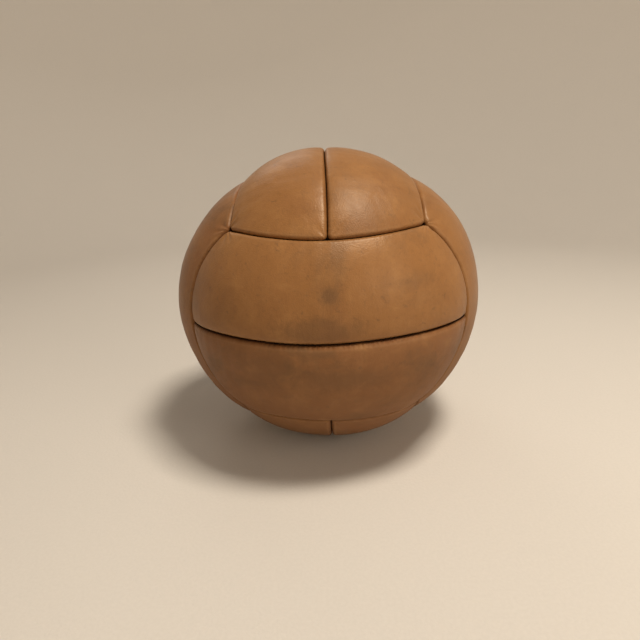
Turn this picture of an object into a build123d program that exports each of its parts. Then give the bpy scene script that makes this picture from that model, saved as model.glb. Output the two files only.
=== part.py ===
"""A stuffed leather medicine ball of twelve hand-sewn panels, two to each face of a rounded cube.

Millimetres, +Z up. The origin is on the floor, at the middle of the flat that the ball's weight presses
into its underside. The front face looks along -Y, and +X is on its right.
"""

import os
from math import acos, cos, degrees, radians, sin, sqrt, tan

from build123d import *

# Driving dimensions.
CROWN_R = 175.0  # ball centre to the crown of a panel: a 350 mm ball
CENTRE_H = 164.5  # ball centre above the floor, so the underside is pressed flat
CROWN_LATITUDE = 16.5  # degrees from a mid seam to the crown line of each of its two panels
CROWN_ARC_R = 95.0  # the panel's curve across its width
SEAM_BOW = 12.5  # degrees that an edge seam bows into the face whose long edge it is
LEATHER = 3.5  # thickness of the hide
CANVAS = 1.0  # thickness of the lining glued behind it
SEAM_GAP = 0.4  # between the turned-in edges of two panels
ALLOWANCE_R = 154.0  # ball centre to the cut edge of the turned-in seam allowance
CORNER_R = 10.0  # a panel's corners, where seams meet
ROLL_R = 8.0  # the roll of the leather into the groove
STITCH_R = 158.5  # ball centre to the line of stitching
THREAD_D = 1.0  # waxed linen thread
THREAD_REST = 0.1  # between the thread and the lining it lies on
SEAM_END = 14.0  # a run of stitching stops this far from where seams meet
HAIR_GAP = 2.0  # between the lining and the hair, where the thread lies
CORE_R = 153.5  # the hair inside the seam allowances

CENTRE = Vector(0, 0, 0)
LEFT = Vector(-1, 0, 0)
RIGHT = Vector(1, 0, 0)
FRONT = Vector(0, -1, 0)
BACK = Vector(0, 1, 0)
UP = Vector(0, 0, 1)
DOWN = Vector(0, 0, -1)

THREAD_OFFSET = SEAM_GAP / 2 + LEATHER + CANVAS + THREAD_REST + THREAD_D / 2
OUTSIDE = CROWN_R + 10  # beyond every surface of the ball
PAST_EDGE = 60  # degrees round the crown arc, past a panel's long edge
PAST_CORNER = 48  # degrees of latitude, past its corners
PAST_ENDS = 66  # degrees along the mid seam, past its ends
FROM_APEX = (Align.CENTER, Align.CENTER, Align.MIN)


def edge_seam(outer, inner):
    """Axis and middle of the seam between two faces, where `outer` is the face whose long edge it is.

    The seam is a circle's arc through two corners of the cube, bowed towards `outer`, so its surface is
    a cone from the ball's centre about an axis near `inner`.
    """
    middle = outer * cos(radians(45 - SEAM_BOW)) + inner * sin(radians(45 - SEAM_BOW))
    side = inner.cross(outer)
    corner = (outer + inner + side).normalized()
    far_corner = (outer + inner - side).normalized()
    axis = (corner - middle).cross(far_corner - middle).normalized()
    if axis.dot(inner) < 0:
        axis = axis * -1
    return axis, middle


# A panel is modelled in place as the front face's upper one. Its mid seam lies in the plane Z = 0.
MID_SEAM = (UP, FRONT)
LONG_EDGE = edge_seam(FRONT, UP)
END_EDGE = edge_seam(LEFT, FRONT)


def seam_degrees(seam, distance):
    """Degrees about a seam's axis that cover a distance along its line of stitching."""
    axis, middle = seam
    return degrees(distance / (STITCH_R * sin(acos(axis.dot(middle)))))


def corner_degrees(seam):
    """Degrees about an edge seam's axis from its middle to the corner where three seams meet."""
    axis, middle = seam
    corner = (UP + FRONT + LEFT).normalized()
    return (middle - axis * axis.dot(middle)).get_angle(corner - axis * axis.dot(corner))


def seam_cone(seam, inset):
    """Plane at the apex of a seam's cone and the cone's slope, with its surface inset to the inside."""
    axis, middle = seam
    half_angle = acos(axis.dot(middle))
    return Plane(origin=axis * (inset / sin(half_angle)), z_dir=axis), tan(half_angle)


def panel_ends(gap):
    """The space between a panel's two end seams, `gap` inside them."""
    apex, slope = seam_cone(END_EDGE, gap)
    with BuildPart() as ends:
        with Locations(apex.location):
            Cone(0, OUTSIDE * slope, OUTSIDE, align=FROM_APEX)
        split(bisect_by=Plane.YZ, keep=Keep.BOTTOM)
        mirror(about=Plane.YZ)
    return ends.part


def is_corner(edge):
    """True of an edge that runs out from the ball's centre, where two seams meet."""
    return abs(edge.start_point().length - edge.end_point().length) > ROLL_R / 2


def is_rim(edge):
    """True of an edge round a panel's crown."""
    return edge.position_at(0.5).length > (ALLOWANCE_R + CROWN_R) / 2 and not is_corner(edge)


def panel_block(inset, base_r, pressed, rolled=True):
    """The space between a panel's four seams and under its crown, `inset` from them all, above base_r."""
    gap = SEAM_GAP / 2 + inset
    arc_r = CROWN_ARC_R - inset
    arc_x = (CROWN_R - CROWN_ARC_R) * cos(radians(CROWN_LATITUDE))
    arc_z = (CROWN_R - CROWN_ARC_R) * sin(radians(CROWN_LATITUDE))
    crown_x = (CROWN_R - inset) * cos(radians(CROWN_LATITUDE))
    crown_z = (CROWN_R - inset) * sin(radians(CROWN_LATITUDE))
    low = (arc_x + sqrt(arc_r**2 - (arc_z - gap) ** 2), gap)
    top = (arc_x + arc_r * cos(radians(PAST_EDGE)), arc_z + arc_r * sin(radians(PAST_EDGE)))
    base_end = (base_r * cos(radians(PAST_CORNER)), base_r * sin(radians(PAST_CORNER)))
    base_middle = (base_r * cos(radians(PAST_CORNER / 2)), base_r * sin(radians(PAST_CORNER / 2)))
    base_start = (sqrt(base_r**2 - gap**2), gap)
    side = FRONT.rotate(Axis.Z, -PAST_ENDS)
    ends = panel_ends(gap)
    with BuildPart() as block:
        with BuildSketch(Plane(origin=CENTRE, x_dir=side, z_dir=side.cross(UP))):
            with BuildLine():
                ThreePointArc(low, (crown_x, crown_z), top)
                Line(top, base_end)
                ThreePointArc(base_end, base_middle, base_start)
                Line(base_start, low)
            make_face()
        revolve(axis=Axis.Z, revolution_arc=2 * PAST_ENDS)
        add(ends, mode=Mode.INTERSECT)
        apex, slope = seam_cone(LONG_EDGE, -gap)
        with Locations(apex.location):
            Cone(0, OUTSIDE * slope, OUTSIDE, align=FROM_APEX, mode=Mode.SUBTRACT)
        if rolled:
            fillet(block.edges().filter_by(is_corner), radius=CORNER_R - inset)
            fillet(block.edges().filter_by(is_rim), radius=ROLL_R - inset)
        if pressed:
            split(bisect_by=Plane(origin=FRONT * (CENTRE_H - inset), z_dir=BACK), keep=Keep.TOP)
    return block.part


def panel_layer(outer, inner, pressed):
    """One layer of a panel, a shallow tray with its edges turned in at the four seams."""
    with BuildPart() as layer:
        add(panel_block(outer, ALLOWANCE_R, pressed))
        add(panel_block(inner, ALLOWANCE_R - LEATHER, pressed), mode=Mode.SUBTRACT)
    return layer.part


def seam_thread(seam, runs):
    """The thread of one seam, where it lies along the linings at both sides of the turned-in edges.

    Each of `runs` is a side of the seam, then the degrees from and to which the thread lies there.
    """
    axis, middle = seam
    with BuildPart() as thread:
        for side, first, last in runs:
            out = middle.rotate(Axis(CENTRE, axis), first)
            across = (axis - out * axis.dot(out)).normalized() * side
            with BuildSketch(Plane(out * STITCH_R + across * THREAD_OFFSET, z_dir=axis.cross(out))):
                Circle(THREAD_D / 2)
            revolve(axis=Axis(CENTRE, axis), revolution_arc=last - first)
    return thread.part


def export_piece(piece, plane, name):
    """Writes a piece, modelled about the ball's centre as the front face's, in its own place."""
    with BuildPart(plane) as node:
        add(piece)
    node.part.label = name
    export_step(node.part, f"parts/{name}.step")


# Each panel's face, and the way the panel lies from that face's mid seam.
PANELS = {
    "front_upper": (FRONT, UP),
    "front_lower": (FRONT, DOWN),
    "back_upper": (BACK, UP),
    "back_lower": (BACK, DOWN),
    "left_front": (LEFT, FRONT),
    "left_rear": (LEFT, BACK),
    "right_front": (RIGHT, FRONT),
    "right_rear": (RIGHT, BACK),
    "top_left": (UP, LEFT),
    "top_right": (UP, RIGHT),
    "bottom_left": (DOWN, LEFT),
    "bottom_right": (DOWN, RIGHT),
}
PLANES = {
    name: Plane(origin=UP * CENTRE_H, x_dir=across.cross(outward), z_dir=across)
    for name, (outward, across) in PANELS.items()
}
FACES = ("front_upper", "back_upper", "left_front", "right_front", "top_left", "bottom_left")

# The leather and its lining, of a round panel and of one pressed flat by the floor.
hide = panel_layer(0, LEATHER, pressed=False)
pressed_hide = panel_layer(0, LEATHER, pressed=True)
lining = panel_layer(LEATHER, LEATHER + CANVAS, pressed=False)
pressed_lining = panel_layer(LEATHER, LEATHER + CANVAS, pressed=True)

# A mid seam's thread runs unbroken on both sides. The neighbouring face's mid seam ends in the middle of
# an edge seam, on its inner side, and interrupts the thread there.
mid_end = 45 + SEAM_BOW - seam_degrees(MID_SEAM, SEAM_END)
edge_end = corner_degrees(LONG_EDGE) - seam_degrees(LONG_EDGE, SEAM_END)
edge_break = seam_degrees(LONG_EDGE, SEAM_END)
mid_thread = seam_thread(MID_SEAM, [(1, -mid_end, mid_end), (-1, -mid_end, mid_end)])
edge_thread = seam_thread(
    LONG_EDGE,
    [(-1, -edge_end, edge_end), (1, -edge_end, -edge_break), (1, edge_break, edge_end)],
)

os.makedirs("parts", exist_ok=True)

for name, plane in PLANES.items():
    pressed = name.startswith("bottom")
    export_piece(pressed_hide if pressed else hide, plane, f"{name}_panel")
    export_piece(pressed_lining if pressed else lining, plane, f"{name}_lining")
    export_piece(edge_thread, plane, f"{name}_edge_thread")

for name in FACES:
    export_piece(mid_thread, PLANES[name], f"{name.split('_')[0]}_mid_thread")

# The hair: a round core, and a wad packed out into each panel.
wad_inset = LEATHER + CANVAS + HAIR_GAP
round_wad = panel_block(wad_inset, ALLOWANCE_R, pressed=False, rolled=False)
pressed_wad = panel_block(wad_inset, ALLOWANCE_R, pressed=True, rolled=False)
with BuildPart() as hair_stuffing:
    with Locations((0, 0, CENTRE_H)):
        Sphere(CORE_R)
    for name, plane in PLANES.items():
        wad = pressed_wad if name.startswith("bottom") else round_wad
        add(plane.location * wad)
hair_stuffing.part.label = "hair_stuffing"
export_step(hair_stuffing.part, "parts/hair_stuffing.step")

for name, piece in (("panel", hide), ("pressed panel", pressed_hide), ("lining", lining),
                    ("pressed lining", pressed_lining), ("mid thread", mid_thread),
                    ("edge thread", edge_thread), ("hair", hair_stuffing.part)):
    print(name, "volume", round(piece.volume), "solids", len(piece.solids()), "valid", piece.is_valid)
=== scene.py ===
"""An old leather medicine ball: twelve stuffed hide panels, two to each face of a rounded cube, sewn edge
to edge with their seams turned in. Metres, in the CAD model's frame."""

import math

import bpy
import numpy as np
from mathutils import Euler, Matrix, Vector


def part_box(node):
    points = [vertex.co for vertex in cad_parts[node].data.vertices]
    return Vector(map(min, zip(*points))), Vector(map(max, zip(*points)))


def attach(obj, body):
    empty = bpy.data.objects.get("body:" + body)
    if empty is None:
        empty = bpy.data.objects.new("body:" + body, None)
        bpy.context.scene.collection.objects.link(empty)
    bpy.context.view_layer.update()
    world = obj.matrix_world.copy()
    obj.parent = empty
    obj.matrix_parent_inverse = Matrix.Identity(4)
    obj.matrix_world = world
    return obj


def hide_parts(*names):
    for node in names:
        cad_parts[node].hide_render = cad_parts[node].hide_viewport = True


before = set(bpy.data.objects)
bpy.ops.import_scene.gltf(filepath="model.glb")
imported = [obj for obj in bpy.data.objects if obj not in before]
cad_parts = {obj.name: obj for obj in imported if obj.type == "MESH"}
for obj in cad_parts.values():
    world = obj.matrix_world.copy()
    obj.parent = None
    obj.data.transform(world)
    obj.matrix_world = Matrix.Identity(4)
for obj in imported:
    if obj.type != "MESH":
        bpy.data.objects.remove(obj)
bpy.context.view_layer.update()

# ------------------------------------------------------------------------------------------------------
# Hide panels.
# Twelve pieces of thick vegetable-tanned cowhide, all cut to one pattern. Their edges are turned in and
# sewn from the inside, so each panel swells out of its seams and rolls down into them.

HIDE = 0.0035  # thickness of the leather
SEAM_RADIUS = 0.1649  # ball centre to the leather's face where it starts to roll into a seam
SQUARENESS = 0.003  # how far the faces' middles stand above a sphere through their edges
SWELL = 0.0049  # how far a panel's crown stands above that
SWELL_SHARPNESS = 3.1  # how flat the crown is and how quickly it falls at the seams
SWELL_LEAN = 0.66  # below 1, the crown lies nearer the mid seam
END_SWELL = 0.088  # length over which a panel's crown falls towards its ends
SEAM_BOW = 12.5  # degrees that an edge seam bows into the face whose long edge it is
ROLL = 0.0034  # width of the roll into a seam
ROLL_DEPTH = 0.0042  # and how deep it goes
CORNER = 0.0052  # radius of a panel's corners
ALLOWANCE = 0.154  # ball centre to the cut edge of the turned-in leather
TURN_ROWS = 5  # rows of faces down the turned-in edge
HALF_GAP = 0.0002  # from a seam's surface to the turned-in leather
PITCH = 0.0045  # spacing of the stitches
SETTLE = 0.0178  # share of its height that the ball's upper half has settled by
LEAN = 0.0065  # and the ball leans, as much as this, over to its right
FRONT_BULGE = 0.0060  # and its front, where it was closed, stands out
FLOOR_EASE = 0.0016  # how gradually the leather meets the floor
BULGE_AIM = np.array([0.0, -0.966, 0.259])  # where the front stands out most
WANDER = 0.0011  # how far seams wander off true
WANDER_SIZE = 0.11  # over this length
DENT = 0.0005  # how uneven the stuffing is
DENT_SIZE = 0.075  # over this length
WORN = 0.0003  # height of the leather's own broad unevenness
CREASE = 0.00007  # depth of the creases that run off a seam
PANEL_WIDTH = 0.094  # between a panel's mid seam and its long seam

low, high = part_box("front_mid_thread")
centre = np.array([0.0, 0.0, (low.z + high.z) / 2])

left, front, up = np.array([-1.0, 0, 0]), np.array([0, -1.0, 0]), np.array([0, 0, 1.0])
# Each panel's face, and the way the panel lies from that face's mid seam.
panels = {
    "front_upper": (front, up),
    "front_lower": (front, -up),
    "back_upper": (-front, up),
    "back_lower": (-front, -up),
    "left_front": (left, front),
    "left_rear": (left, -front),
    "right_front": (-left, front),
    "right_rear": (-left, -front),
    "top_left": (up, left),
    "top_right": (up, -left),
    "bottom_left": (-up, left),
    "bottom_right": (-up, -left),
}

# How well some panels are stuffed, against the others.
fullness = {
    "front_upper": 0.8,
    "front_lower": 0.95,
    "left_front": 1.65,
    "left_rear": 1.5,
    "top_left": 0.55,
    "top_right": 0.5,
    "bottom_left": 0.2,
    "bottom_right": 0.15,
}

# How far some panels' edges roll, against the others: the last panel to be closed was pulled tight.
looseness = {"front_lower": 0.42, "front_upper": 1.15}


def unit(v):
    return v / np.linalg.norm(v, axis=-1, keepdims=True)


def panel_frame(name):
    """Rows along, inward and across: the axes of the pattern, laid in a panel's own place."""
    outward, across = panels[name]
    return np.array([np.cross(across, outward), -outward, across])


def edge_seam(outer, inner):
    """Axis and middle of the seam between two faces, bowed into the face whose long edge it is."""
    bow = math.radians(45 - SEAM_BOW)
    middle = outer * math.cos(bow) + inner * math.sin(bow)
    side = np.cross(inner, outer)
    axis = unit(np.cross(outer + inner + side - 3**0.5 * middle, outer + inner - side - 3**0.5 * middle))
    return axis * np.sign(axis @ inner), middle


# The pattern lies as the front face's upper panel does. A seam is an arc about its axis.
mid_seam = (up, front)
long_seam = edge_seam(front, up)
end_seam = edge_seam(-left, front)


def off_axis(seam, direction):
    """The part of a direction that is square to a seam's axis."""
    axis = seam[0]
    return direction - axis * (axis @ direction)


# Angles about their axes from a seam's middle to its end.
corner = unit(front + up - left)
corner_turn = math.acos(unit(off_axis(long_seam, corner)) @ unit(off_axis(long_seam, long_seam[1])))
mid_turn = math.radians(45 + SEAM_BOW)


def along_seam(seam, turn):
    """Directions at angles `turn` about a seam's axis, counted from its middle."""
    axis, middle = seam
    turn = np.asarray(turn, float)[..., None]
    around = np.cross(axis, middle)
    return axis * (axis @ middle) + off_axis(seam, middle) * np.cos(turn) + around * np.sin(turn)


def seam_distances(p):
    """Distances in metres from directions `p` to a panel's mid, long, left and right seams."""
    mid = np.arcsin(np.clip(p[..., 2], -1, 1))
    far = np.arccos(np.clip(p @ long_seam[0], -1, 1)) - math.acos(long_seam[0] @ long_seam[1])
    outer = np.abs(p[..., 0]) * end_seam[0][0] + p[..., 1] * end_seam[0][1]
    end = math.acos(end_seam[0] @ end_seam[1]) - np.arccos(np.clip(outer, -1, 1))
    left_end = np.where(p[..., 0] < 0, end, 1.0)
    right_end = np.where(p[..., 0] < 0, 1.0, end)
    return np.stack([mid, far, left_end, right_end], -1) * SEAM_RADIUS


mirror = np.array([-1.0, 1, 1])


def seam_slopes(p):
    """Unit directions along the ball in which each of those distances grows."""
    axes = (up, -long_seam[0], end_seam[0] * mirror, end_seam[0])
    return [unit(axis - p * (p @ axis)[..., None]) for axis in axes]


def crown(distances):
    """How far the leather swells above its seams, from 0 to 1."""
    mid, far = distances[..., 0], distances[..., 1]
    across = np.abs(2 * np.clip(mid / np.maximum(mid + far, 1e-6), 0, 1) ** SWELL_LEAN - 1)
    ends = np.minimum(distances[..., 2], distances[..., 3])
    along = 1 - np.clip(ends / END_SWELL, 0, 1)
    return (1 - np.clip(across, 0, 1) ** SWELL_SHARPNESS) * (1 - along**SWELL_SHARPNESS)


def swollen(name, p):
    """Ball centre to a panel's face in directions `p`, before its edges roll."""
    square = ((p**4).sum(-1) - 0.5) * 2
    return SEAM_RADIUS + SQUARENESS * square + SWELL * fullness.get(name, 1.0) * crown(seam_distances(p))


def unevenness(points, size, seed, waves=26):
    """Smooth unevenness of about -1 to 1, whose humps are `size` metres across."""
    draw = np.random.default_rng(seed)
    heading = unit(draw.normal(size=(waves, 3))) * draw.uniform(0.6, 1.5, (waves, 1))
    phase = draw.uniform(0, 2 * np.pi, waves)
    return np.sin(points @ heading.T * (np.pi / size) + phase).sum(-1) * (1.4 / waves**0.5)


def settled(points, lift=0.0):
    """The ball's own weight: its top sinks a little, and the floor presses its underside flat."""
    out = points.copy()
    rise = points[..., 2] - centre[2]
    sunk = points[..., 2] - SETTLE * rise * np.clip(rise / 0.1, 0, 1)
    out[..., 2] = np.where(rise > 0, sunk, points[..., 2])
    above = out[..., 2] - lift
    out[..., 2] = lift + (above + np.sqrt(above**2 + FLOOR_EASE**2)) / 2
    return out


def misshapen(points):
    """Years of use: the whole cover is a little out of true, seams and all."""
    p = points - centre
    pushed = unit(p)
    shift = np.stack([unevenness(p, WANDER_SIZE, seed) for seed in (618, 465, 136)], -1) * WANDER
    sheared = np.stack([p[..., 2], 0 * p[..., 1], p[..., 0]], -1) * LEAN
    bulge = FRONT_BULGE * (1 + np.tanh((pushed @ BULGE_AIM - 0.45) / 0.2)) / 2
    return points + shift + sheared + pushed * (bulge + unevenness(p, DENT_SIZE, 6) * DENT)[..., None]


def steps(length, fine, coarse, margin):
    """Places along a length, `fine` apart within `margin` of its ends and `coarse` apart between."""
    run = np.linspace(0, length, 4000)
    ends = np.minimum(run, length - run)
    blend = np.clip((ends - margin) / margin, 0, 1)
    spacing = fine + (coarse - fine) * blend * blend * (3 - 2 * blend)
    count = np.concatenate([[0], np.cumsum((1 / spacing)[1:] * np.diff(run))])
    total = int(round(count[-1]))
    return np.interp(np.linspace(0, count[-1], total + 1), count, run) / length


def pattern_grid(fine, coarse):
    """Directions over a panel, in rows across it, with lines closer together beside the seams."""
    u = steps(2 * mid_turn * SEAM_RADIUS, fine, coarse * 0.75, 0.011)[None, :, None]
    v = steps(PANEL_WIDTH, fine, coarse, 0.010)[:, None, None]
    mid = along_seam(mid_seam, (2 * u[..., 0] - 1) * mid_turn)
    far = along_seam(long_seam, (2 * u[..., 0] - 1) * -corner_turn)
    if far[0, 0, 0] > 0:
        far = far * mirror
    right_end = along_seam(end_seam, v[..., 0] * corner_turn)
    if right_end[-1, 0, 2] < 0:
        right_end = right_end * np.array([1.0, 1, -1])
    left_end = right_end * mirror
    sides = (1 - v) * mid + v * far + (1 - u) * left_end + u * right_end
    mid_corners = (1 - u) * mid[:, :1] + u * mid[:, -1:]
    far_corners = (1 - u) * far[:, :1] + u * far[:, -1:]
    return unit(sides - ((1 - v) * mid_corners + v * far_corners))


def rolled(p, slack):
    """Moves directions towards the seams to make room for the rolls.

    Returns them, how far each one drops into its roll, and its distance from the nearest seam.
    """
    roll = ROLL * slack
    d = seam_distances(p)
    slopes = seam_slopes(p)
    pull = np.maximum(CORNER - d, 0)
    ring = CORNER - pull.max(-1)
    turned = np.clip(ring / roll, 0, 1) * np.pi / 2
    wanted = np.where(ring < roll, roll * (1 - np.cos(turned)), ring)
    wanted = wanted + HALF_GAP * (ring < roll) * np.cos(turned)
    size = np.maximum(np.sqrt((pull**2).sum(-1)), 1e-9)
    moved = np.where(pull > 0, pull - pull * ((CORNER - wanted) / size)[..., None], 0.0)
    shift = sum(moved[..., k, None] * slopes[k] for k in range(4))
    for a in (0, 1):
        for b in (2, 3):
            both = (pull[..., a] > 0) & (pull[..., b] > 0)
            lean = (slopes[a] * slopes[b]).sum(-1)
            first = (moved[..., a] - lean * moved[..., b]) / (1 - lean**2)
            second = (moved[..., b] - lean * moved[..., a]) / (1 - lean**2)
            apart = first[..., None] * slopes[a] + second[..., None] * slopes[b]
            shift = np.where(both[..., None], apart, shift)
    drop = ROLL_DEPTH * slack * (1 - np.sin(turned))
    return unit(p + shift / SEAM_RADIUS), drop, np.maximum(ring, 0)


def seam_run(p):
    """Metres along the nearest seam from its middle, and which of the four seams it is."""
    nearest = seam_distances(p).argmin(-1)
    run = np.arctan2(p[..., 0], -p[..., 1]) * SEAM_RADIUS
    for k, (axis, middle) in ((1, long_seam), (2, end_seam), (3, end_seam)):
        q = p * mirror if k == 2 else p
        flat = off_axis((axis, middle), middle)
        turn = np.arctan2(q @ np.cross(axis, unit(flat)), q @ unit(flat))
        run = np.where(nearest == k, turn * np.linalg.norm(flat) * SEAM_RADIUS, run)
    return run, nearest


def stitch_pull(p, ring, name):
    """Depth of the small dents where the thread draws the leather in, and of the creases off a seam."""
    run, nearest = seam_run(p)
    strength = {0: 0.00040, 1: 0.00050, 2: 0.00028, 3: 0.00028}
    depth = sum(strength[k] * (nearest == k) for k in strength)
    if name.startswith("front"):
        depth = depth + 0.0010 * (nearest == 0) * np.exp(-((run / 0.075) ** 4))
    draw = np.random.default_rng(sum(map(ord, name)))
    uneven = 0.75 + 0.25 * np.sin(run / 0.013 + draw.uniform(0, 6)) * np.sin(run / 0.0071 + nearest)
    dents = depth * uneven * (0.5 + 0.5 * np.cos(2 * np.pi * run / PITCH)) * np.exp(-((ring / 0.0028) ** 2))
    creases = unevenness(np.stack([run, nearest * 0.3, run * 0], -1), 0.0075, int(draw.integers(99)), 14)
    fade = np.exp(-(((ring - 0.004) / 0.007) ** 2))
    return dents + CREASE * creases * fade


def corner_pinch(p):
    """Depth of the dimple and its puckers where three seams draw a corner in."""
    depth = np.zeros(p.shape[:-1])
    for x in (-1, 1):
        far_tip = unit(np.array([x, -1.0, 1.0]))
        mid_tip = along_seam(mid_seam, x * mid_turn)
        for tip, size in ((far_tip, 0.0016), (mid_tip, 0.0009)):
            away = p - tip
            distance = np.linalg.norm(away, axis=-1) * SEAM_RADIUS
            bearing = np.arctan2(away[..., 2], x * -away[..., 0])
            puckers = 1 + 0.3 * np.cos(9 * bearing + 2 * x)
            depth = depth + size * puckers * np.exp(-((distance / 0.016) ** 2))
    return depth


def skin(name, fine, coarse):
    """A panel's outer face as a grid of points, with how far each lies from the nearest seam."""
    p, drop, ring = rolled(pattern_grid(fine, coarse), looseness.get(name, 1.0))
    place = panel_frame(name)
    seed = sum(map(ord, name))
    height = swollen(name, p) - drop
    world = (p @ place) * SEAM_RADIUS
    worn = unevenness(world, 0.036, seed) * WORN + unevenness(world, 0.015, seed + 1) * WORN / 6
    worn = worn * np.clip(ring / 0.02, 0, 1)
    height = height - stitch_pull(p, ring, name) - corner_pinch(p) + worn
    return (p * height[..., None]) @ place + centre, ring


def layer(name, fine, coarse, outer, inner):
    """A closed shell between two depths below a panel's face, turned in along its seams.

    Returns points, faces, and each point's distance from the nearest seam, below 0 where turned in.
    """
    face, ring = skin(name, fine, coarse)
    rows, columns = ring.shape
    count = rows * columns
    index = np.arange(count).reshape(rows, columns)
    border = np.concatenate([index[0, :-1], index[:-1, -1], index[-1, :0:-1], index[:0:-1, 0]])
    flat = face.reshape(-1, 3)
    points, rings = [flat], [ring.ravel()]
    faces = [np.stack([index[:-1, :-1], index[:-1, 1:], index[1:, 1:], index[1:, :-1]], -1).reshape(-1, 4)]
    loop, edge = border, flat[border]
    reach = np.linalg.norm(edge - centre, axis=-1)
    for k in range(1, TURN_ROWS + 1):
        down = reach + (ALLOWANCE - reach) * k / TURN_ROWS
        next_loop = np.arange(len(border)) + count + (k - 1) * len(border)
        points.append(centre + unit(edge - centre) * down[:, None])
        rings.append(np.full(len(border), -0.001 * k))
        faces.append(np.stack([next_loop, np.roll(next_loop, -1), np.roll(loop, -1), loop], -1))
        loop = next_loop
    points, rings, faces = np.concatenate(points), np.concatenate(rings), np.concatenate(faces)
    corners = points[faces]
    normal = np.cross(corners[:, 2] - corners[:, 0], corners[:, 3] - corners[:, 1])
    normals = np.zeros_like(points)
    for k in range(4):
        np.add.at(normals, faces[:, k], normal)
    normals = unit(normals)
    total = len(points)
    outside, inside = points - normals * outer, points - normals * inner
    rim = np.stack([np.roll(loop, -1), loop, loop + total, np.roll(loop + total, -1)], -1)
    everything = np.concatenate([outside, inside])
    shape = misshapen(everything)
    shape[:total] = settled(shape[:total], outer)
    shape[total:] = settled(shape[total:], inner)
    all_faces = np.concatenate([faces, faces[:, ::-1] + total, rim])
    return shape, all_faces, np.concatenate([rings, rings])


def make_piece(name, points, faces, **marks):
    """A smooth mesh object from points and quads, with a number at each point for every mark."""
    mesh = bpy.data.meshes.new(name)
    mesh.vertices.add(len(points))
    mesh.vertices.foreach_set("co", np.ascontiguousarray(points, np.float32).ravel())
    sides = faces.shape[1]
    mesh.loops.add(faces.size)
    mesh.loops.foreach_set("vertex_index", np.ascontiguousarray(faces, np.int32).ravel())
    mesh.polygons.add(len(faces))
    mesh.polygons.foreach_set("loop_start", np.arange(0, faces.size, sides, dtype=np.int32))
    mesh.polygons.foreach_set("use_smooth", np.ones(len(faces), bool))
    for mark, values in marks.items():
        layer_values = mesh.attributes.new(mark, "FLOAT", "POINT")
        layer_values.data.foreach_set("value", np.ascontiguousarray(values, np.float32))
    mesh.update(calc_edges=True)
    mesh.validate()
    piece = bpy.data.objects.new(name, mesh)
    bpy.context.collection.objects.link(piece)
    return piece


class Tone:
    """A number, colour or vector on its way to a shader. Arithmetic on it adds the nodes."""

    def __init__(self, tree, socket=None):
        self.tree = tree
        self.socket = socket

    def node(self, kind, sockets=(), out=0, stops=(), **settings):
        """Adds a node: its settings first, then the values or links of its sockets."""
        made = self.tree.nodes.new(kind)
        for setting, value in settings.items():
            setattr(made, setting, value)
        if stops:
            ramp = made.color_ramp.elements
            while len(ramp) < len(stops):
                ramp.new(0.5)
            for stop, (place, colour) in zip(ramp, stops):
                stop.position = place
                stop.color = colour if hasattr(colour, "__len__") else (colour, colour, colour, 1)
        for key, value in dict(sockets).items():
            if isinstance(value, Tone):
                self.tree.links.new(value.socket, made.inputs[key])
            else:
                made.inputs[key].default_value = value
        return Tone(self.tree, made.outputs[out] if len(made.outputs) else None)

    def math(self, operation, *values):
        return self.node("ShaderNodeMath", dict(enumerate(values)), operation=operation)

    def __add__(self, other):
        return self.math("ADD", self, other)

    def __sub__(self, other):
        return self.math("SUBTRACT", self, other)

    def __rsub__(self, other):
        return self.math("SUBTRACT", other, self)

    def __mul__(self, other):
        return self.math("MULTIPLY", self, other)

    __radd__ = __add__
    __rmul__ = __mul__

    def ramp(self, *stops):
        return self.node("ShaderNodeValToRGB", {0: self}, stops=stops)

    def between(self, low, high):
        """0 up to `low` and 1 from `high`, easing between them."""
        return self.node("ShaderNodeMapRange", {0: self, 1: low, 2: high}, interpolation_type="SMOOTHSTEP")

    def mix(self, colour, other, blend_type="MIX"):
        """`colour` where this is 0 and `other` where it is 1."""
        return self.node(
            "ShaderNodeMix", {0: self, 6: colour, 7: other}, out=2, data_type="RGBA", blend_type=blend_type
        )


def finish_named(name):
    """A new material's surface tree, without nodes but its output."""
    material = bpy.data.materials.new(name)
    material.use_nodes = True
    material.node_tree.nodes.clear()
    return material, Tone(material.node_tree)


def laid_on(tree, colour, roughness, height, distance, **shader):
    """Closes a finish: its colour, roughness and relief on one shader."""
    relief = tree.node("ShaderNodeBump", {"Strength": 1.0, "Distance": distance, "Height": height})
    sockets = {"Base Color": colour, "Roughness": roughness, "Normal": relief}
    sockets.update({key.replace("_", " "): value for key, value in shader.items()})
    surface = tree.node("ShaderNodeBsdfPrincipled", sockets)
    tree.node("ShaderNodeOutputMaterial", {"Surface": surface})


GRAIN_DEPTH = 0.00045
TAN = (0.300, 0.115, 0.021, 1)
OCHRE = (0.400, 0.175, 0.042, 1)
RUSSET = (0.215, 0.064, 0.009, 1)
UMBER = (0.060, 0.021, 0.005, 1)
SCUFF = (0.270, 0.150, 0.072, 1)
# Pale worn leather on the rolls beside the seams, also a painted highlight where the overhead light would
# catch them.
PALE_RIM_AND_HIGHLIGHT = (0.400, 0.225, 0.110, 1)
# Painted shade for the ball's lower half, which the overhead lamps leave dark.
SHADE_BELOW = (0.048, 0.008, 0.0006, 1)
# Grime and painted shade deep in the seam grooves.
GROOVE_GRIME_AND_SHADE = (0.010, 0.005, 0.003, 1)
# Stains from handling: place, reach in each direction and depth of colour.
stains = (
    ((0.001, -0.163, 0.210), (0.009, 0.03, 0.008), 0.75),
    ((-0.006, -0.172, 0.1565), (0.016, 0.03, 0.0035), 0.6),
    ((-0.012, -0.170, 0.178), (0.045, 0.04, 0.012), 0.55),
    ((0.010, -0.168, 0.128), (0.045, 0.05, 0.012), 0.5),
    ((-0.060, -0.155, 0.140), (0.035, 0.05, 0.016), 0.35),
    ((0.012, -0.150, 0.238), (0.008, 0.05, 0.030), 0.35),
    ((0.075, -0.140, 0.215), (0.026, 0.05, 0.008), 0.3),
)


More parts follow.
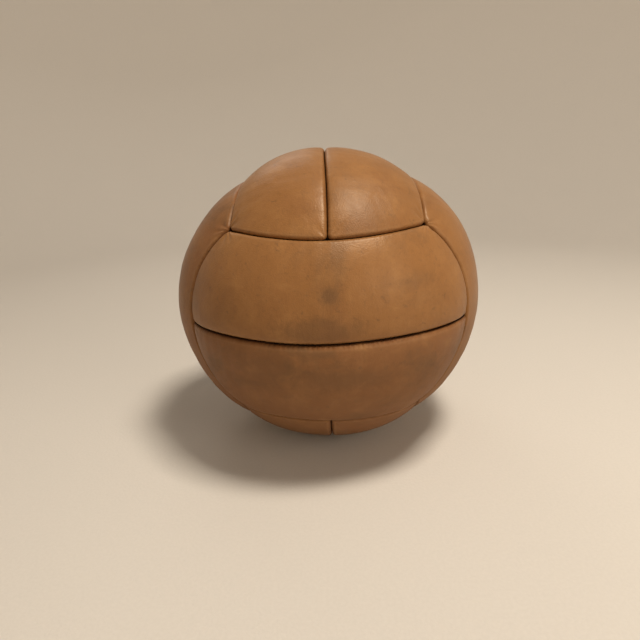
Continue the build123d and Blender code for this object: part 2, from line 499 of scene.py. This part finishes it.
def hide_finish(name, redness, darkness, shift):
    """Old tanned cowhide: tan and russet, handled dark, with painted shade over its lower half, its rolls
    worn pale and lightened as a painted highlight, and grime and painted shade in the seams.
    """
    material, tree = finish_named(name)
    place = tree.node("ShaderNodeTexCoord", out=3)
    at = tree.node("ShaderNodeVectorMath", {0: place, 1: shift}, operation="ADD")
    seam = tree.node("ShaderNodeAttribute", out=2, attribute_name="from_seam")

    def cloud(scale, detail=4.0, roughness=0.55, distortion=0.0, where=at):
        sockets = {"Vector": where, "Scale": scale, "Detail": detail, "Roughness": roughness}
        return tree.node("ShaderNodeTexNoise", {**sockets, "Distortion": distortion})

    blotches = cloud(11, 4, 0.6, 0.5)
    mottle = cloud(42, 6, 0.66, 0.3)
    flecks = cloud(240, 4, 0.65)
    handled = cloud(7.5, 6, 0.7, 0.8)
    colour = (blotches + (redness - 0.5)).between(0.34, 0.68).mix(TAN, RUSSET)
    colour = (mottle.between(0.48, 0.8) * 0.6).mix(colour, OCHRE)
    colour = (cloud(18, 5, 0.65, 0.6).between(0.53, 0.72) * 0.45).mix(colour, OCHRE)
    # Handling dirt, scaled per panel by darkness, which on the lower panels is also painted shade.
    colour = (handled.between(0.48, 0.72) * darkness).mix(colour, UMBER)
    colour = (cloud(65, 7, 0.72, 0.4).between(0.54, 0.78) * 0.45).mix(colour, UMBER)
    colour = (flecks.between(0.5, 0.75) * 0.3).mix(colour, UMBER)
    colour = (cloud(130, 3, 0.6, 0.4).between(0.62, 0.74) * 0.55).mix(colour, UMBER)
    drag = tree.node("ShaderNodeMapping", {"Vector": at, "Scale": (1.0, 0.7, 0.6)})
    colour = (cloud(30, 7, 0.72, 0.8, drag).between(0.6, 0.8) * 0.3).mix(colour, SCUFF)
    for middle, reach, strength in stains if name.startswith("hide_front") else ():
        away = tree.node("ShaderNodeVectorMath", {0: place, 1: middle}, operation="SUBTRACT")
        away = tree.node("ShaderNodeVectorMath", {0: away, 1: reach}, operation="DIVIDE")
        away = tree.node("ShaderNodeVectorMath", {0: away}, out=1, operation="LENGTH")
        blot = 1 - (away + (mottle - 0.5) * 2.6).between(0.3, 1.35)
        colour = (blot * strength).mix(colour, UMBER)
    # Wear on the rolls beside the seams, partly real and partly a painted highlight; it also thins the
    # painted shade below.
    rim_wear_and_highlight = ((0.0, 0.2), (0.001, 0.7), (0.0035, 1.0), (0.008, 0.3), (0.022, 0.0))
    worn = (seam + (mottle - 0.5) * 0.003).ramp(*rim_wear_and_highlight)
    z = tree.node("ShaderNodeSeparateXYZ", {0: place}, out=2)
    # Painted shade: darker towards the bottom, less over the worn rolls.
    painted_shade_below = 1 - (z + (handled - 0.5) * 0.05).between(0.08, 0.2)
    colour = (painted_shade_below * (0.92 - worn * 0.65)).mix(colour, SHADE_BELOW)
    colour = (worn * (0.25 + mottle * 0.5)).mix(colour, PALE_RIM_AND_HIGHLIGHT)
    near = 1 - (seam + (mottle - 0.5) * 0.02).between(0.0, 0.022)
    colour = (near * 0.22).mix(colour, UMBER)
    # Grime and painted shade down in each seam's groove.
    shaded = 1 - (seam + (mottle - 0.5) * 0.001).between(0.0002, 0.0012)
    colour = (shaded * 0.85).mix(colour, GROOVE_GRIME_AND_SHADE)
    cells = tree.node("ShaderNodeTexVoronoi", {"Vector": at, "Scale": 900.0}, feature="SMOOTH_F1")
    creased = cloud(70, 3, 0.5, 0.8)
    height = cells * 0.30 + flecks * 0.30 + mottle * 0.4 + creased * 0.25
    roughness = 0.39 + (1 - flecks) * 0.1 + handled.between(0.4, 0.75) * 0.1 + shaded * 0.25
    roughness = roughness - worn * 0.1 + painted_shade_below * 0.3
    gloss = {"Specular_IOR_Level": 0.3, "Specular_Tint": (1.0, 0.82, 0.62, 1)}
    laid_on(tree, colour, roughness, height, GRAIN_DEPTH, **gloss)
    return material


# Redness, darkness and the pattern's own place in the hide, for each panel. The top panels get less
# darkness and the lower ones more redness and darkness, partly the hide's own variation and partly painted
# shade from the overhead light.
cuts = {
    "front_upper": (0.36, 0.62, (0.31, 0.02, 0.17)),
    "front_lower": (0.80, 1.0, (1.72, 0.44, 0.05)),
    "back_upper": (0.5, 0.6, (2.1, 1.3, 0.4)),
    "back_lower": (0.6, 0.7, (3.3, 0.8, 1.9)),
    "left_front": (0.62, 1.0, (4.6, 0.1, 2.2)),
    "left_rear": (0.5, 0.6, (5.2, 1.6, 0.9)),
    "right_front": (0.42, 0.5, (6.4, 2.7, 0.6)),
    "right_rear": (0.55, 0.6, (7.1, 0.3, 3.1)),
    "top_left": (0.38, 0.35, (8.5, 3.4, 1.1)),
    "top_right": (0.42, 0.3, (9.9, 2.2, 2.6)),
    "bottom_left": (0.6, 0.8, (10.4, 0.5, 3.7)),
    "bottom_right": (0.6, 0.8, (11.8, 1.9, 0.2)),
}

for name in panels:
    points, faces, ring = layer(name, 0.00055, 0.0013, 0.0, HIDE)
    panel = make_piece(f"{name}_hide", points, faces, from_seam=ring)
    panel.data.materials.append(hide_finish(f"hide_{name}", *cuts[name]))
    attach(panel, "root")
    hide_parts(f"{name}_panel")

# ------------------------------------------------------------------------------------------------------
# Canvas linings.
# A piece of plain-woven cotton canvas glued behind each panel, turned in and sewn with it, so that the
# hide can't stretch out of shape.

CANVAS = 0.001
LINING_GAP = 0.0001  # so that the glued faces don't cross


def canvas_finish():
    """Unbleached canvas, browned by the glue."""
    material, tree = finish_named("lining_canvas")
    place = tree.node("ShaderNodeTexCoord", out=3)
    weft = tree.node("ShaderNodeTexWave", {"Vector": place, "Scale": 260.0}, bands_direction="X")
    warp = tree.node("ShaderNodeTexWave", {"Vector": place, "Scale": 260.0}, bands_direction="Z")
    stain = tree.node("ShaderNodeTexNoise", {"Vector": place, "Scale": 30.0, "Detail": 5.0})
    weave = tree.math("MAXIMUM", weft, warp)
    colour = stain.between(0.4, 0.7).mix((0.52, 0.42, 0.27, 1), (0.34, 0.24, 0.13, 1))
    colour = (weave * 0.4).mix((0.2, 0.15, 0.09, 1), colour)
    laid_on(tree, colour, 0.85 + stain * 0.1, weave, 0.0002)
    return material


canvas = canvas_finish()
for name in panels:
    points, faces, _ = layer(name, 0.0014, 0.0034, HIDE + LINING_GAP, HIDE + CANVAS)
    lining = make_piece(f"{name}_canvas", points, faces)
    lining.data.materials.append(canvas)
    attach(lining, "root")
    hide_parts(f"{name}_lining")

# ------------------------------------------------------------------------------------------------------
# Seam threads.
# Waxed linen in saddle stitch: two needles work each seam from opposite sides through the same awl holes.
# The last seam, across the front, is closed from outside with a ladder of stitches over the groove.

THREAD = 0.00045  # radius
STITCH_RADIUS = 0.1585  # ball centre to the line of stitching
SEAM_END = 0.014  # a run of stitching stops this far from where seams meet
LADDER_HALF = 0.062  # half the length of the seam closed from outside
LADDER_RADIUS = 0.1636  # ball centre to its stitches, where they cross the groove
LADDER_REACH = 0.0020  # half their width, to where they go into the leather
# Across the groove and up: how each of them arches over it.
LADDER_ARCH = ((-1, -0.0012), (-0.6, 0.0), (0, 0.0003), (0.6, 0.0), (1, -0.0012))
THREAD_REST = 0.0002  # between the thread and the lining it lies on


def tubes(lines, radius, sides=8):
    """Round threads along lines of points, closed at their ends, as points and quads."""
    points, faces, base = [], [], 0
    ring = np.linspace(0, 2 * np.pi, sides, endpoint=False)
    for line in lines:
        line = np.asarray(line)
        ahead = unit(np.gradient(line, axis=0))
        out = unit(line - centre)
        side = unit(np.cross(ahead, out))
        side = np.where(np.isfinite(side), side, 0)
        top = np.cross(side, ahead)
        spread = side[:, None] * np.cos(ring)[None, :, None] + top[:, None] * np.sin(ring)[None, :, None]
        points.append((line[:, None] + spread * radius).reshape(-1, 3))
        grid = base + np.arange(len(line) * sides).reshape(len(line), sides)
        around = np.roll(grid, -1, 1)
        faces.append(np.stack([grid[:-1], grid[1:], around[1:], around[:-1]], -1).reshape(-1, 4))
        for end, order in ((grid[0], 1), (grid[-1], -1)):
            faces.append(end[np.array([[0, 1, 2, 3], [0, 3, 4, 7], [4, 5, 6, 7]])[:, ::order]])
        base += len(line) * sides
    return np.concatenate(points), np.concatenate(faces)


def seam_frame_at(seam, turn, place):
    """Points of a seam at the ball's own scale, and the way across it, in a panel's place."""
    p = along_seam(seam, turn)
    across = unit(seam[0] - p * (p @ seam[0])[..., None])
    return p @ place, across @ place


def saddle_stitches(seam, place, turns, needle):
    """One needle's thread: along one side to the next hole, through, and along the other side."""
    p, across = seam_frame_at(seam, turns, place)
    inside = HIDE + CANVAS + THREAD + THREAD_REST
    nudge = THREAD_REST if needle else -THREAD_REST
    line = []
    for k in range(len(turns)):
        here = p[k] * STITCH_RADIUS
        side = 1 if (k + needle) % 2 else -1
        for reach in (side, side * 0.4, -side * 0.4, -side):
            line.append(here + across[k] * inside * reach + p[k] * nudge)
    return np.array(line) + centre


def seam_turns(seam, start, end):
    """Angles of the stitches between two distances along a seam from its middle."""
    arm = np.linalg.norm(off_axis(seam, seam[1])) * STITCH_RADIUS
    count = int(round((end - start) / PITCH)) + 1
    return np.linspace(start, end, count) / arm


def thread_finish():
    """Waxed linen thread, twisted, dark with wax and dirt."""
    material, tree = finish_named("waxed_linen")
    place = tree.node("ShaderNodeTexCoord", out=3)
    twist = tree.node("ShaderNodeTexWave", {"Vector": place, "Scale": 900.0}, bands_direction="DIAGONAL")
    wax = tree.node("ShaderNodeTexNoise", {"Vector": place, "Scale": 400.0, "Detail": 3.0})
    colour = wax.between(0.35, 0.7).mix((0.045, 0.026, 0.014, 1), (0.12, 0.07, 0.035, 1))
    laid_on(tree, colour, 0.5 + wax * 0.25, twist, 0.0002)
    return material


linen = thread_finish()
mid_reach = mid_turn * STITCH_RADIUS - SEAM_END
long_arm = np.linalg.norm(off_axis(long_seam, long_seam[1])) * STITCH_RADIUS
long_reach = corner_turn * long_arm - SEAM_END


def sew(name, node, lines):
    """One seam's thread as a piece of its own."""
    points, faces = tubes([settled(misshapen(line)) for line in lines], THREAD)
    thread = make_piece(name, points, faces)
    thread.data.materials.append(linen)
    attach(thread, "root")
    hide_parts(node)


for name in panels:
    place = panel_frame(name)
    halves = [seam_turns(long_seam, -long_reach, -SEAM_END), seam_turns(long_seam, SEAM_END, long_reach)]
    lines = [saddle_stitches(long_seam, place, half, needle) for half in halves for needle in (0, 1)]
    sew(f"{name}_edge_stitches", f"{name}_edge_thread", lines)

for face in ("front_upper", "back_upper", "left_front", "right_front", "top_left", "bottom_left"):
    place = panel_frame(face)
    side = face.split("_")[0]
    spans = [(-mid_reach, mid_reach)]
    if side == "front":
        spans = [(-mid_reach, -LADDER_HALF), (LADDER_HALF, mid_reach)]
    runs = [seam_turns(mid_seam, *span) for span in spans]
    lines = [saddle_stitches(mid_seam, place, run, needle) for run in runs for needle in (0, 1)]
    if side == "front":
        turns = seam_turns(mid_seam, -LADDER_HALF, LADDER_HALF)
        p, across = seam_frame_at(mid_seam, turns, place)
        for k in range(len(turns)):
            out, sideways = p[k], across[k] * LADDER_REACH
            arch = [out * (LADDER_RADIUS + rise) + sideways * reach for reach, rise in LADDER_ARCH]
            lines.append(centre + np.array(arch))
    sew(f"{side}_mid_stitches", f"{side}_mid_thread", lines)

# ------------------------------------------------------------------------------------------------------
# Stuffing.
# Felted animal hair, packed in by the handful until the ball is hard. It fills every panel and stops
# short of the turned-in seams.

HAIR_DEPTH = 0.0065  # below the leather's face
HAIR_CORE = 0.1515  # ball centre to the hair between the turned-in edges


def hair_surface(directions):
    """Distance from the ball's centre to the hair in each direction."""
    reach = np.full(len(directions), HAIR_CORE)
    for name in panels:
        p = directions @ panel_frame(name).T
        d = seam_distances(p)
        inside = (d.min(-1) > 0) & (p[:, 1] < 0)
        height = swollen(name, p) - HAIR_DEPTH
        rise = np.clip((d.min(-1) - HAIR_DEPTH) / 0.006, 0, 1) ** 0.5
        reach = np.where(inside, HAIR_CORE + (height - HAIR_CORE) * rise, reach)
    return reach


def hair_finish():
    """Brown felted hair, matted fibres every way."""
    material, tree = finish_named("felted_hair")
    place = tree.node("ShaderNodeTexCoord", out=3)
    fibres = tree.node(
        "ShaderNodeTexNoise", {"Vector": place, "Scale": 180.0, "Detail": 6.0, "Distortion": 4.0}
    )
    tufts = tree.node("ShaderNodeTexNoise", {"Vector": place, "Scale": 26.0, "Detail": 4.0})
    colour = tufts.between(0.35, 0.7).mix((0.20, 0.14, 0.09, 1), (0.07, 0.045, 0.03, 1))
    colour = (fibres.between(0.45, 0.65) * 0.5).mix(colour, (0.32, 0.25, 0.17, 1))
    laid_on(tree, colour, 0.9 + tufts * 0.08, fibres + tufts, 0.0012)
    return material


bpy.ops.mesh.primitive_ico_sphere_add(subdivisions=7, radius=1.0)
stuffing = bpy.context.object
stuffing.name = "stuffing"
count = len(stuffing.data.vertices)
directions = np.empty(count * 3, np.float32)
stuffing.data.vertices.foreach_get("co", directions)
directions = unit(directions.reshape(-1, 3).astype(float))
hair = centre + directions * hair_surface(directions)[:, None]
hair = settled(misshapen(hair), HAIR_DEPTH)
stuffing.data.vertices.foreach_set("co", hair.astype(np.float32).ravel())
stuffing.data.polygons.foreach_set("use_smooth", np.ones(len(stuffing.data.polygons), bool))
stuffing.data.update()
stuffing.data.materials.append(hair_finish())
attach(stuffing, "root")
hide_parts("hair_stuffing")

# ------------------------------------------------------------------------------------------------------
# Floor, light and camera.
# A plain pale floor that sweeps up all round, one large soft lamp above and to the right, another low on
# the right, and weaker ones from the left and behind.

FLOOR_REACH = 1.3  # from the ball to where the floor starts to sweep up
FLOOR_BEND = 0.8  # radius of the sweep
FLOOR_RISE = 2.4  # height that it reaches

profile = [(0.002, 0.0), (0.6, 0.0), (FLOOR_REACH, 0.0)]
for k in range(1, 13):
    turn = math.radians(90 * k / 12)
    profile.append((FLOOR_REACH + FLOOR_BEND * math.sin(turn), FLOOR_BEND * (1 - math.cos(turn))))
profile.append((FLOOR_REACH + FLOOR_BEND, FLOOR_RISE))
turns = np.radians(np.arange(0, 360, 5))
ground = np.array([[r * math.cos(t), r * math.sin(t), z] for r, z in profile for t in turns])
rings = np.arange(len(ground)).reshape(len(profile), len(turns))
around = np.roll(rings, -1, 1)
strip = np.stack([rings[:-1], rings[1:], around[1:], around[:-1]], -1).reshape(-1, 4)
floor = make_piece("studio_floor", ground, strip)
floor_material, floor_tree = finish_named("floor_paper")
paper = floor_tree.node("ShaderNodeTexCoord", out=3)
grain = floor_tree.node("ShaderNodeTexNoise", {"Vector": paper, "Scale": 350.0, "Detail": 4.0})
pale = grain.between(0.3, 0.7).mix((0.66, 0.61, 0.55, 1), (0.68, 0.63, 0.57, 1))
laid_on(floor_tree, pale, 0.8 + grain * 0.1, grain, 0.0002)
floor.data.materials.append(floor_material)


def soft_lamp(name, place, size, power, colour):
    """A square soft lamp turned towards the ball."""
    lamp = bpy.data.lights.new(name, "AREA")
    lamp.shape, lamp.size = "SQUARE", size
    lamp.energy, lamp.color = power, colour
    shown = bpy.data.objects.new(name, lamp)
    shown.location = place
    aim = Vector((0, 0, centre[2])) - Vector(place)
    shown.rotation_euler = aim.to_track_quat("-Z", "Y").to_euler()
    bpy.context.collection.objects.link(shown)


soft_lamp("key", (0.50, -0.40, 1.90), 0.45, 32, (1.0, 0.92, 0.80))
soft_lamp("side", (1.15, -1.15, 0.75), 0.8, 6, (1.0, 0.92, 0.80))
soft_lamp("fill", (-1.15, -1.05, 0.8), 1.1, 0.3, (1.0, 0.95, 0.90))
soft_lamp("back", (-0.5, 1.3, 1.4), 0.8, 3, (1.0, 0.94, 0.86))

world = bpy.data.worlds.new("studio")
world.use_nodes = True
world.node_tree.nodes["Background"].inputs[0].default_value = (0.80, 0.75, 0.69, 1)
world.node_tree.nodes["Background"].inputs[1].default_value = 0.16
bpy.context.scene.world = world

CAMERA_DISTANCE = 0.655  # from the ball's centre
CAMERA_LENS = 30.4  # millimetres, on a sensor 36 mm wide
CAMERA_AZIMUTH = 1.0
CAMERA_ELEVATION = 15.8
CAMERA_LEAN = -1.9  # degrees that the ball leans in view
AIM_LEFT = 1.05  # degrees that the camera is aimed off the ball's centre
AIM_DOWN = 2.8

camera_data = bpy.data.cameras.new("camera")
camera_data.lens = CAMERA_LENS
camera_data.sensor_width = 36.0
camera = bpy.data.objects.new("camera", camera_data)
bpy.context.collection.objects.link(camera)
azimuth = math.radians(CAMERA_AZIMUTH)
elevation = math.radians(CAMERA_ELEVATION)
away = Vector(
    (math.sin(azimuth) * math.cos(elevation), -math.cos(azimuth) * math.cos(elevation), math.sin(elevation))
)
facing = (-away).to_track_quat("-Z", "Y").to_matrix()
lean = Matrix.Rotation(math.radians(CAMERA_LEAN), 3, "Z")
aim = Euler((math.radians(-AIM_DOWN), math.radians(AIM_LEFT), 0)).to_matrix()
standpoint = Vector(centre) + away * CAMERA_DISTANCE
camera.matrix_world = Matrix.Translation(standpoint) @ (facing @ lean @ aim).to_4x4()
bpy.context.scene.camera = camera
bpy.context.scene.view_settings.view_transform = "Standard"
